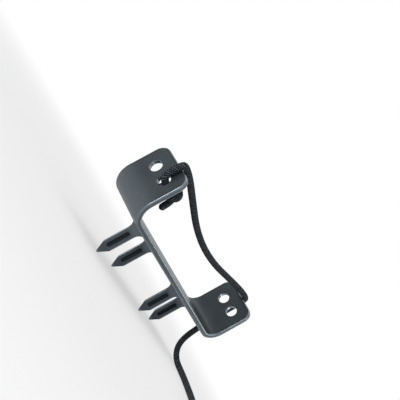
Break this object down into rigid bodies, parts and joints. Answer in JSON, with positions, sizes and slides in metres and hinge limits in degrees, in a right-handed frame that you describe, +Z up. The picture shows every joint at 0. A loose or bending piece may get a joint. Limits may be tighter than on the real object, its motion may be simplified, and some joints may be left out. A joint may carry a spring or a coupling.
{
  "type": "shoe ice cleat",
  "caption": "U-bent steel strip with grooved blade spikes under its plate and a braided cord, knotted inside one ear, that ties it under the waist of an overshoe.",
  "frame": {"origin": "on the ground under the middle of the plate; the cleat stands on its spike tips", "axes": "+X across the shoe from the knotted ear to the plain ear, +Y towards the heel, +Z up from the ground to the sole"},
  "size_m": [0.1144, 0.1042, 0.0482],
  "materials": {
    "strip_steel": "satin blue-grey hardened finish, rubbed at the edges",
    "spike_steel": "satin blue-grey hardened finish, scraped at the points",
    "braid": "near-black braided cord, matt"
  },
  "bodies": {
    "root": {"bracket": "strip_steel", "spike_1": "spike_steel", "spike_2": "spike_steel", "spike_3": "spike_steel", "spike_4": "spike_steel", "cord_knot": "braid", "cord_run": "braid", "cord_coil": "braid", "cord_end_knot": "braid"}
  },
  "joints": []
}
